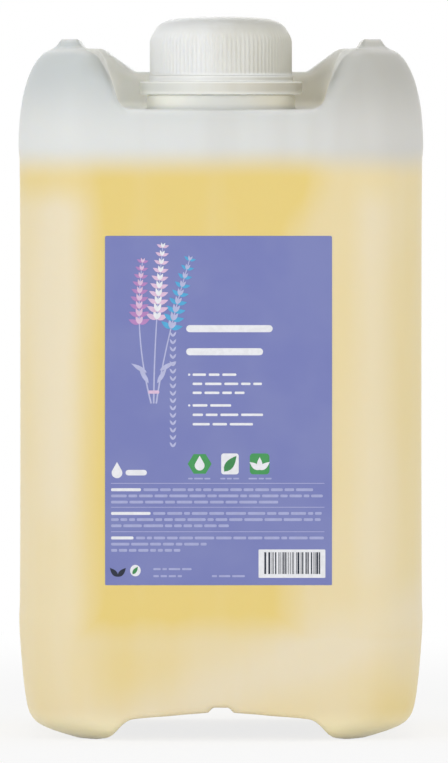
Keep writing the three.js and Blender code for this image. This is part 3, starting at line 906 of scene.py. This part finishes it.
class Print:
    """The label's inks: outlines, each with the layer that it is printed in."""

    def __init__(self):
        self.draw = random.Random(7)
        self.inks = {name: [] for name in INK_TONES}

    def put(self, name, outline, layer=1):
        self.inks[name].append((outline, layer))

    def words(self, name, u0, u1, v, shortest, longest, gap, height):
        """A row of bars as long as words."""
        u = u0
        while u < u1 - shortest:
            end = min(u + self.draw.uniform(shortest, longest), u1)
            self.put(name, round_box(u, v - height / 2, end, v + height / 2, height * 0.35, 2))
            u = end + gap


def print_sprigs(sheet):
    """Three flower sprigs at the upper left, tied low down, and a narrow upright garland."""
    for layer, outer_ink, inner_ink, root_u, bend, tip, whorls, size in SPRIGS:
        stem, outer, inner = sprig((root_u, SPRIG_ROOT_V), bend, tip, whorls, size)
        sheet.put("lilac", stem, layer)
        sheet.inks[outer_ink] += outer
        sheet.inks[inner_ink] += inner
    for layer, u, v, angle in SPRIG_LEAVES:
        sheet.put("lilac", petal(u, v, angle, 8.5, 2.1), layer)
    sheet.put("pink", round_box(20.2, 72.4, 25.4, 73.9, 0.6), 2)
    for pair in range(GARLAND_PAIRS):
        for angle in (58, 122):
            sheet.put("lilac", petal(31.8, 99 - pair * GARLAND_STEP, angle, 2.9, 1))


def print_title(sheet):
    sheet.put("white", round_box(38, 41.8, 78.5, 45.1, 1.6))
    sheet.put("white", round_box(38, 52.6, 74, 55.9, 1.6))
    for v in (65, 79.4):
        sheet.put("white", oval(39.4, v, 0.55, 0.55, 12))
    for v, end in BULLETED_LINES:
        sheet.words("white", 41, end, v, *BULLETED_WORDS)


def print_signs(sheet):
    """Three generic signs, a drop, a leaf and a sprout, and one more drop with a bar."""
    turns = [math.radians(60 * turn) for turn in range(6)]
    sheet.put("green", [(44.3 + 5.6 * math.cos(turn), 106.8 + 5.3 * math.sin(turn)) for turn in turns])
    sheet.put("white", drop(44.3, 102.9, 7), 2)
    sheet.put("white", round_box(54.4, 101.9, 62.6, 111.7, 1.2))
    sheet.put("leaf", petal(55.8, 110.4, 52, 9.4, 4), 2)
    sheet.put("green", round_box(67.8, 101.9, 77, 111.7, 1.6))
    for order in range(3):
        sheet.put("white", petal(72.4, 109.6, 38 + 52 * order, 6, 2.6), 2 + 0.3 * order)
    for start, end in CAPTIONS:
        sheet.words("pale", start, end, 113.7, *CAPTION_WORDS)
    sheet.put("white", drop(5.6, 105.9, 7.6))
    sheet.put("white", round_box(9.6, 109.6, 19.6, 112.2, 1.3))


def print_small_print(sheet):
    """Rows of small bars between thin rules. Each block starts with a longer white bar."""
    for v in (115.9, 127.1, 138.6):
        sheet.put("lilac", round_box(LEFT_MARGIN, v - 0.12, 102.8, v + 0.12, 0.1, 1))
    for v, start, end in SMALL_PRINT:
        sheet.words("pale", start, end, v, *SMALL_WORDS)
        if start > LEFT_MARGIN:
            sheet.put("white", round_box(LEFT_MARGIN, v - 0.7, start - 1.2, v + 0.7, 0.5, 2))


def print_foot(sheet):
    """Two small leaf signs, three short lines and a plain pattern of bars."""
    for order in range(2):
        sheet.put("dark", petal(6, 159.7, 48 + 84 * order, 5.6, 2.4), 1 + 0.3 * order)
    sheet.put("white", oval(14.2, 156.8, 2.5, 2.7, 20))
    sheet.put("leaf", petal(12.9, 158.5, 55, 4.3, 1.8), 2)
    for v, start, end in FOOT_LINES:
        sheet.words("pale", start, end, v, *FOOT_WORDS)
    sheet.put("white", round_box(71.9, 146.9, 103.2, 160.2, 0.4, 2))
    u = 74.6
    while u < 100.4:
        width = sheet.draw.choice((0.3, 0.3, 0.6, 0.9))
        sheet.put("dark", [(u, 148.2), (u + width, 148.2), (u + width, 158.4), (u, 158.4)], 2)
        u += width + sheet.draw.choice((0.33, 0.33, 0.66, 0.99))


def make_label():
    film = round_box(0, 0, *LABEL_SIZE, FILM_CORNER, 6)
    return make_object("label_film", plate(film, FILM_FRONT_Y, FILM_BACK_Y), smooth_angle=20)


def make_prints():
    """One piece for each ink."""
    sheet = Print()
    for add_print in (print_sprigs, print_title, print_signs, print_small_print, print_foot):
        add_print(sheet)
    pieces = {}
    for name, outlines in sheet.inks.items():
        shape = merged(*(ink(outline, layer) for outline, layer in outlines))
        pieces[name] = make_object("label_print_" + name, shape, smooth_angle=20)
    return pieces


# Materials

def srgb(red, green, blue):
    """A colour as it shows on screen, 0 to 255, as the linear values that a shader takes."""
    linear = []
    for value in (red, green, blue):
        share = value / 255
        linear.append(share / 12.92 if share <= 0.04045 else ((share + 0.055) / 1.055) ** 2.4)
    return (*linear, 1)


WHITE = (1, 1, 1, 1)
# The pale soap tone also serves as painted light: at the sides, in bands off the corners, and in the foot
# glow
SOAP_DEEP = srgb(238, 214, 135)
SOAP_PALE = srgb(241, 228, 198)
FOOT_GLOW = srgb(255, 244, 206)
# Painted light and shade on the plastic above the soap: lit on the left, shaded on the right and towards the
# top
PLASTIC_LEFT_PAINTED_LIGHT = srgb(230, 232, 230)
PLASTIC_RIGHT_PAINTED_SHADE = srgb(216, 215, 210)
PLASTIC_TOP_LEFT_PAINTED_SHADE = srgb(203, 208, 208)
PLASTIC_TOP_RIGHT_PAINTED_SHADE = srgb(191, 190, 183)
# Painted light on the recess walls, and painted shade on the saddle's banks and the recess edges
RECESS_PAINTED_LIGHT_COOL = srgb(253, 252, 243)
RECESS_PAINTED_LIGHT_WARM = srgb(240, 236, 221)
BANK_PAINTED_SHADE = srgb(180, 180, 169)
EDGE_PAINTED_SHADE = srgb(158, 159, 151)
# Cap and neck: painted light on the left, painted shade on the right
CAP_PAINTED_LIGHT = srgb(243, 244, 242)
CAP_PAINTED_SHADE = srgb(212, 210, 199)
CROWN_SHADE = srgb(20, 28, 42)
CREASE_GLOW = srgb(255, 255, 250)
NECK_PAINTED_LIGHT = srgb(230, 231, 226)
NECK_PAINTED_SHADE = srgb(208, 204, 190)
LINER_TONES = (srgb(238, 238, 234), srgb(222, 223, 218))
LIQUID_TONES = (srgb(232, 206, 118), srgb(222, 190, 92))
LABEL_TONES = (srgb(122, 129, 188), srgb(128, 135, 190))
INK_TONES = {
    "white": srgb(240, 241, 246),
    "lilac": srgb(190, 193, 228),
    "pink": srgb(228, 196, 224),
    "mauve": srgb(188, 138, 196),
    "sky": srgb(88, 176, 222),
    "pale": srgb(172, 177, 218),
    "green": srgb(74, 156, 92),
    "leaf": srgb(66, 140, 84),
    "dark": srgb(38, 44, 60),
}

# Heights between which the empty plastic turns into the colour of the soap
LIQUID_LINE_Z = (279.5, 262.5)
# Creases of the mouldings that light comes through: height and reach
CAP_CREASES = ((CAP_BOTTOM_Z, 1.6), (BAND_BOTTOM_Z, 1))
NECK_CREASES = ((COLLAR_BOTTOM_Z - 0.5, 2.8), (COLLAR_TOP_Z, 1))


class Graph:
    """The nodes of a material or a world, built by short calls that each return a socket."""

    def __init__(self, name, world=False):
        self.owner = bpy.data.worlds.new(name) if world else bpy.data.materials.new(name)
        self.owner.use_nodes = True
        self.nodes = self.owner.node_tree.nodes
        self.links = self.owner.node_tree.links
        self.shader = self.nodes["Background" if world else "Principled BSDF"]
        self.output = self.nodes["World Output" if world else "Material Output"]
        self.place = self.add("ShaderNodeTexCoord", output=3)

    def add(self, kind, inputs=None, output=0, **settings):
        node = self.nodes.new(kind)
        for key, value in settings.items():
            setattr(node, key, value)
        for key, value in (inputs or {}).items():
            self.feed(node.inputs[key], value)
        return node.outputs[output]

    def feed(self, socket, value):
        if isinstance(value, bpy.types.NodeSocket):
            self.links.new(value, socket)
        else:
            socket.default_value = value

    def set(self, **inputs):
        for key, value in inputs.items():
            self.feed(self.shader.inputs[key.replace("_", " ")], value)

    def math(self, operation, a, b=0.0, c=0.0):
        return self.add("ShaderNodeMath", {0: a, 1: b, 2: c}, operation=operation)

    def times(self, first, *others):
        for other in others:
            first = self.math("MULTIPLY", first, other)
        return first

    def plus(self, base, value, share):
        """The base with that share of the value added."""
        return self.math("MULTIPLY_ADD", value, share, base)

    def ramp(self, value, low, high, start=0.0, end=1.0):
        """A smooth step from start to end as the value goes from low to high."""
        return self.add(
            "ShaderNodeMapRange",
            {"Value": value, "From Min": low, "From Max": high, "To Min": start, "To Max": end},
            interpolation_type="SMOOTHSTEP",
        )

    def peak(self, value, centre, reach):
        """1 at the centre, falling smoothly to 0 at that distance from it."""
        return self.ramp(self.math("ABSOLUTE", self.math("SUBTRACT", value, centre)), reach, 0)

    def mix(self, share, a, b):
        return self.add("ShaderNodeMix", {0: share, 6: a, 7: b}, output=2, data_type="RGBA")

    def noise(self, scale, detail=2.0, roughness=0.5, stretch=(1, 1, 1)):
        """Soft noise in the object's own place, which is scaled along each axis first."""
        place = self.add("ShaderNodeVectorMath", {0: self.place, 1: stretch}, operation="MULTIPLY")
        inputs = {"Vector": place, "Scale": scale, "Detail": detail, "Roughness": roughness}
        return self.add("ShaderNodeTexNoise", inputs)

    def bump(self, height, strength, distance):
        normal = self.add("ShaderNodeBump", {"Height": height, "Strength": strength, "Distance": distance})
        self.feed(self.shader.inputs["Normal"], normal)

    def finish(self, colour, grain, smoothest, roughest, **inputs):
        """Sets the colour, a roughness that follows the grain, and the rest, and returns the material."""
        self.set(Base_Color=colour, Roughness=self.ramp(grain, 0.3, 0.7, smoothest, roughest), **inputs)
        return self.owner

    def axes_mm(self):
        """The place in the object's own axes, in millimetres."""
        scaled = self.add("ShaderNodeVectorMath", {0: self.place, "Scale": 1 / MM}, operation="SCALE")
        return [self.add("ShaderNodeSeparateXYZ", {0: scaled}, output=axis) for axis in range(3)]

    def distance_from_neck(self, x, y):
        """Distance from the neck's axis, in millimetres."""
        along = self.math("SUBTRACT", y, NECK_Y)
        return self.math("SQRT", self.plus(self.times(x, x), along, along))

    def facing_up(self):
        """How far the surface faces up, from -1 to 1."""
        normal = self.add("ShaderNodeNewGeometry", output=1)
        return self.add("ShaderNodeSeparateXYZ", {0: normal}, output=2)

    def show_white(self, kind, share=1.0):
        """White for the camera, mirrors and glass in place of that share of the shader."""
        light_path = self.nodes.new("ShaderNodeLightPath")
        rays = light_path.outputs["Is Camera Ray"]
        for name in ("Is Glossy Ray", "Is Transmission Ray"):
            rays = self.math("MAXIMUM", rays, light_path.outputs[name])
        white = self.add(kind, {"Color": WHITE, "Strength": 1.0})
        inputs = {0: self.times(rays, share), 1: self.shader.outputs[0], 2: white}
        self.feed(self.output.inputs[0], self.add("ShaderNodeMixShader", inputs))
        return self.owner


def soap_colour(graph, x, y, z, cloud, streak):
    """Deepest behind the middle of the front, paler at the sides, low down and in soft stretches. The paler
    sides are painted light, where light comes through less soap.
    """
    left_edge = graph.times(graph.ramp(x, -52, -72), graph.ramp(z, 264, 246, 0.35, 1))
    right_place = graph.math("SUBTRACT", x, graph.ramp(z, 232, 264, 0, 12))
    outer = graph.math("MAXIMUM", left_edge, graph.ramp(right_place, 22, 44, 0, 0.78))
    pale = graph.times(graph.math("MAXIMUM", outer, graph.ramp(z, 62, 44, 0, 0.95)), 0.72)
    under_line = graph.ramp(z, 266, 246)
    # The first three stretches are painted light: upright pale bands where light comes off the rounded
    # corners, and a diagonal band across the front. Then two deeper patches low down, and the soap's own
    # clouds and streaks.
    stretches = (
        (0.27, graph.times(graph.peak(x, -77, 15), graph.ramp(z, 88, 120), under_line)),
        (0.3, graph.times(graph.peak(x, 72, 16), graph.ramp(z, 56, 84), under_line)),
        (0.3, graph.peak(graph.plus(z, x, -0.39), 24, 24)),
        (-0.35, graph.times(graph.ramp(x, 55, 88), graph.ramp(z, 38, 14))),
        (-0.3, graph.times(graph.peak(x, -42, 36), graph.peak(z, 36, 34))),
        (0.4, cloud),
        (0.35, streak),
    )
    for strength, stretch in stretches:
        pale = graph.plus(pale, stretch, strength)
    # The stretches are softer at the back, which is lit less evenly
    typical = 0.35
    pale = graph.plus(typical, graph.math("SUBTRACT", pale, typical), graph.ramp(y, 90, -90, 0.45, 1))
    pale = graph.add("ShaderNodeClamp", {"Value": pale})
    # Light comes through the feet from below
    return graph.mix(graph.ramp(z, 16, 2, 0, 0.9), graph.mix(pale, SOAP_DEEP, SOAP_PALE), FOOT_GLOW)


def empty_colour(graph, x, z, streak):
    """Painted light and shade: brightest low down on the left, where the light falls, and painted greyer
    towards the top and the right, which lie in shade.
    """
    # Painted shade grows towards the right and towards the top; faces that look up keep only a little of the
    # top's shade
    across = graph.ramp(graph.plus(x, streak, 90), -35, 85)
    height = graph.times(graph.ramp(z, 281, 318), graph.ramp(graph.facing_up(), 0.7, 0.95, 1, 0.2))
    left_side_light_and_shade = graph.mix(height, PLASTIC_LEFT_PAINTED_LIGHT, PLASTIC_TOP_LEFT_PAINTED_SHADE)
    return graph.mix(across, left_side_light_and_shade, graph.mix(height, PLASTIC_RIGHT_PAINTED_SHADE, PLASTIC_TOP_RIGHT_PAINTED_SHADE))


def recess_colour(graph, x, y, z, plastic):
    """The plastic, with painted light and painted shade around the neck recess."""
    wall_radius = RECESS_HALF_WIDTH - RECESS_DRAFT * DECK_Z
    from_wall = graph.plus(graph.distance_from_neck(x, y), z, -RECESS_DRAFT)
    from_middle = graph.math("ABSOLUTE", x)
    # Painted light: its walls are painted lighter, for the light that reaches them through the shoulders
    lit = graph.times(graph.ramp(from_wall, wall_radius + 6, wall_radius), graph.ramp(z, 295, 299))
    lit = graph.times(lit, graph.ramp(y, -104, -88))
    plastic = graph.mix(lit, plastic, graph.mix(graph.ramp(x, -20, 20), RECESS_PAINTED_LIGHT_COOL, RECESS_PAINTED_LIGHT_WARM))
    # Painted shade: the saddle's banks, the brows over them and the walls near the front are painted darker,
    # which also dulls the highlights on their rounded edges
    rim_shade = graph.times(graph.peak(from_wall, wall_radius + 4, 9), 0.4)
    bank = graph.math("MAXIMUM", graph.peak(from_middle, 59, 13), rim_shade)
    bank = graph.times(bank, graph.ramp(z, 305, 316), graph.ramp(y, -98, -88))
    brow_shade = graph.times(graph.peak(from_middle, 55, 14), graph.ramp(z, 308, 320, 0, 0.6))
    brow_shade = graph.times(brow_shade, graph.ramp(x, 40, 0, 0.15, 0.9))
    plastic = graph.mix(graph.math("MAXIMUM", bank, brow_shade), plastic, BANK_PAINTED_SHADE)
    # Painted shade along the recess side walls, beside the front of the neck
    edge = graph.peak(graph.plus(from_middle, z, -RECESS_DRAFT), wall_radius, 4)
    edge = graph.times(edge, graph.ramp(y, -58, -76), graph.ramp(z, 302, 312, 0, 0.6))
    return graph.mix(edge, plastic, EDGE_PAINTED_SHADE)


def canister_material():
    graph = Graph("natural_polyethylene_with_soap")
    x, y, z = graph.axes_mm()
    cloud = graph.math("SUBTRACT", graph.noise(9), 0.5)
    streak = graph.math("SUBTRACT", graph.noise(60, stretch=(1, 1, 0.1)), 0.5)
    plastic = recess_colour(graph, x, y, z, empty_colour(graph, x, z, streak))
    soap = soap_colour(graph, x, y, z, cloud, streak)
    filled = graph.ramp(graph.plus(z, cloud, 5), *LIQUID_LINE_Z)
    graph.bump(graph.noise(260, 3, 0.55), 0.2, 0.0002)
    graph.set(Subsurface_Weight=0.2, Subsurface_Radius=(1.0, 0.8, 0.5), Subsurface_Scale=0.0015)
    colour = graph.mix(filled, plastic, soap)
    return graph.finish(colour, graph.noise(420, 3, 0.6), 0.34, 0.46, IOR=1.5, Specular_IOR_Level=0.12)


def moulded_material(name, light, dim, creases):
    """Moulded polyethylene, with painted light on the left and painted shade on the right, and with clouds
    and streaks. Light comes through its creases, painted as a glow there, and its crown has painted shade.
    """
    graph = Graph(name)
    x, _, z = graph.axes_mm()
    streak = graph.noise(170, stretch=(1, 1, 0.12))
    painted_shade_drift = graph.plus(graph.plus(x, streak, 22), graph.noise(22), 30)
    # Painted light on the left, fading to painted shade on the right, wavering with the streaks and clouds
    colour = graph.mix(graph.ramp(graph.math("SUBTRACT", painted_shade_drift, 26), -28, 36), light, dim)
    for height, reach in creases:
        colour = graph.mix(graph.times(graph.peak(z, height, reach), 0.9), colour, CREASE_GLOW)
    colour = graph.mix(graph.ramp(z, CAP_TOP_Z - 10, CAP_TOP_Z - 1, 0, 0.23), colour, CROWN_SHADE)
    graph.bump(graph.noise(500, 3), 0.2, 0.0002)
    graph.set(Subsurface_Weight=0.3, Subsurface_Radius=(1.0, 0.9, 0.7), Subsurface_Scale=0.004)
    return graph.finish(colour, graph.noise(600), 0.32, 0.44, IOR=1.5, Specular_IOR_Level=0.2)


def liner_material():
    graph = Graph("foamed_liner")
    cells = graph.add("ShaderNodeTexVoronoi", {"Vector": graph.place, "Scale": 900.0})
    graph.set(Base_Color=graph.mix(cells, *LINER_TONES), Roughness=0.8)
    graph.bump(cells, 0.3, 0.0002)
    return graph.owner


def soap_material():
    graph = Graph("liquid_soap")
    colour = graph.mix(graph.ramp(graph.noise(30), 0.3, 0.7), *LIQUID_TONES)
    graph.set(Subsurface_Weight=0.6, Subsurface_Radius=(1.0, 0.8, 0.3), Subsurface_Scale=0.02)
    return graph.finish(colour, graph.noise(80), 0.05, 0.12, IOR=1.38)


def label_material():
    graph = Graph("label_film")
    colour = graph.mix(graph.ramp(graph.noise(40), 0.3, 0.7), *LABEL_TONES)
    graph.bump(graph.noise(900), 0.1, 0.00005)
    return graph.finish(colour, graph.noise(700), 0.40, 0.50, Specular_IOR_Level=0.3)


def ink_material(name):
    graph = Graph("ink_" + name)
    tone = INK_TONES[name]
    deeper = (*(value * 0.94 for value in tone[:3]), 1)
    colour = graph.mix(graph.ramp(graph.noise(500), 0.35, 0.65), tone, deeper)
    return graph.finish(colour, graph.noise(900), 0.42, 0.5, Specular_IOR_Level=0.3)


def floor_material():
    """A white floor that keeps the shadow near the canister and fades into the white backdrop."""
    graph = Graph("white_floor")
    graph.set(Base_Color=(0.9, 0.9, 0.9, 1), Roughness=0.9, Specular_IOR_Level=0.0)
    from_centre = graph.add("ShaderNodeVectorMath", {0: graph.place}, output=1, operation="LENGTH")
    return graph.show_white("ShaderNodeEmission", graph.ramp(from_centre, *FLOOR_FADE, 0.8, 1))


# Stage

def make_floor():
    half = FLOOR_HALF_SIZE
    corners = [(-half, -half, 0), (half, -half, 0), (half, half, 0), (-half, half, 0)]
    floor = make_object("floor", (corners, [(0, 1, 2, 3)]))
    floor.data.materials.append(floor_material())


def make_world():
    graph = Graph("studio", world=True)
    graph.set(Color=WHITE, Strength=WORLD_STRENGTH)
    bpy.context.scene.world = graph.show_white("ShaderNodeBackground")


def add_holder(name, data, place, target):
    """An object for a lamp or camera, put in its place and aimed at a target."""
    holder = bpy.data.objects.new(name, data)
    bpy.context.scene.collection.objects.link(holder)
    from_target = np.array(place, float) - np.array(target, float)
    tilt = math.acos(from_target[2] / np.linalg.norm(from_target))
    holder.location = tuple(np.array(place, float) * MM)
    holder.rotation_euler = (tilt, 0, math.atan2(from_target[0], -from_target[1]))
    return holder


def make_lights():
    for name, (place, size, power) in LAMPS.items():
        lamp = bpy.data.lights.new(name, "AREA")
        lamp.shape = "DISK"
        lamp.size = size * MM
        lamp.energy = power
        add_holder(name, lamp, place, LAMP_TARGET)


def make_camera():
    lens = bpy.data.cameras.new("camera")
    centre_x = (PICTURE_WIDTH / 2 - CENTRE_PIXEL_X) * MM_PER_PIXEL
    centre_z = (FLOOR_PIXEL_Y - PICTURE_HEIGHT / 2) * MM_PER_PIXEL
    place = (centre_x, OUTLINE_Y - CAMERA_DISTANCE, CAMERA_HEIGHT)
    target = (centre_x, OUTLINE_Y, centre_z)
    bpy.context.scene.camera = add_holder("camera", lens, place, target)
    lens.sensor_fit = "VERTICAL"
    lens.sensor_height = SENSOR_HEIGHT
    lens.lens = SENSOR_HEIGHT * math.dist(place, target) / (PICTURE_HEIGHT * MM_PER_PIXEL)
    lens.clip_end = VIEW_REACH


def place_piece(piece, body, material, node):
    piece.data.materials.append(material)
    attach(piece, body)
    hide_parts(node)


def build():
    cap_plastic = moulded_material("cap_polyethylene", CAP_PAINTED_LIGHT, CAP_PAINTED_SHADE, CAP_CREASES)
    neck_plastic = moulded_material("neck_polyethylene", NECK_PAINTED_LIGHT, NECK_PAINTED_SHADE, NECK_CREASES)
    place_piece(make_body(), "canister", canister_material(), "canister")
    place_piece(make_neck(), "canister", neck_plastic, "canister")
    place_piece(make_cap(), "cap", cap_plastic, "screw_cap")
    place_piece(make_liner(), "liner", liner_material(), "cap_liner")
    place_piece(make_band(), "canister", cap_plastic, "tamper_band")
    place_piece(make_soap(), "canister", soap_material(), "soap_fill")
    place_piece(make_label(), "canister", label_material(), "front_label")
    for name, piece in make_prints().items():
        place_piece(piece, "canister", ink_material(name), "front_label")


bpy.context.scene.view_settings.view_transform = "Standard"
make_camera()
make_world()
make_lights()
make_floor()
build()
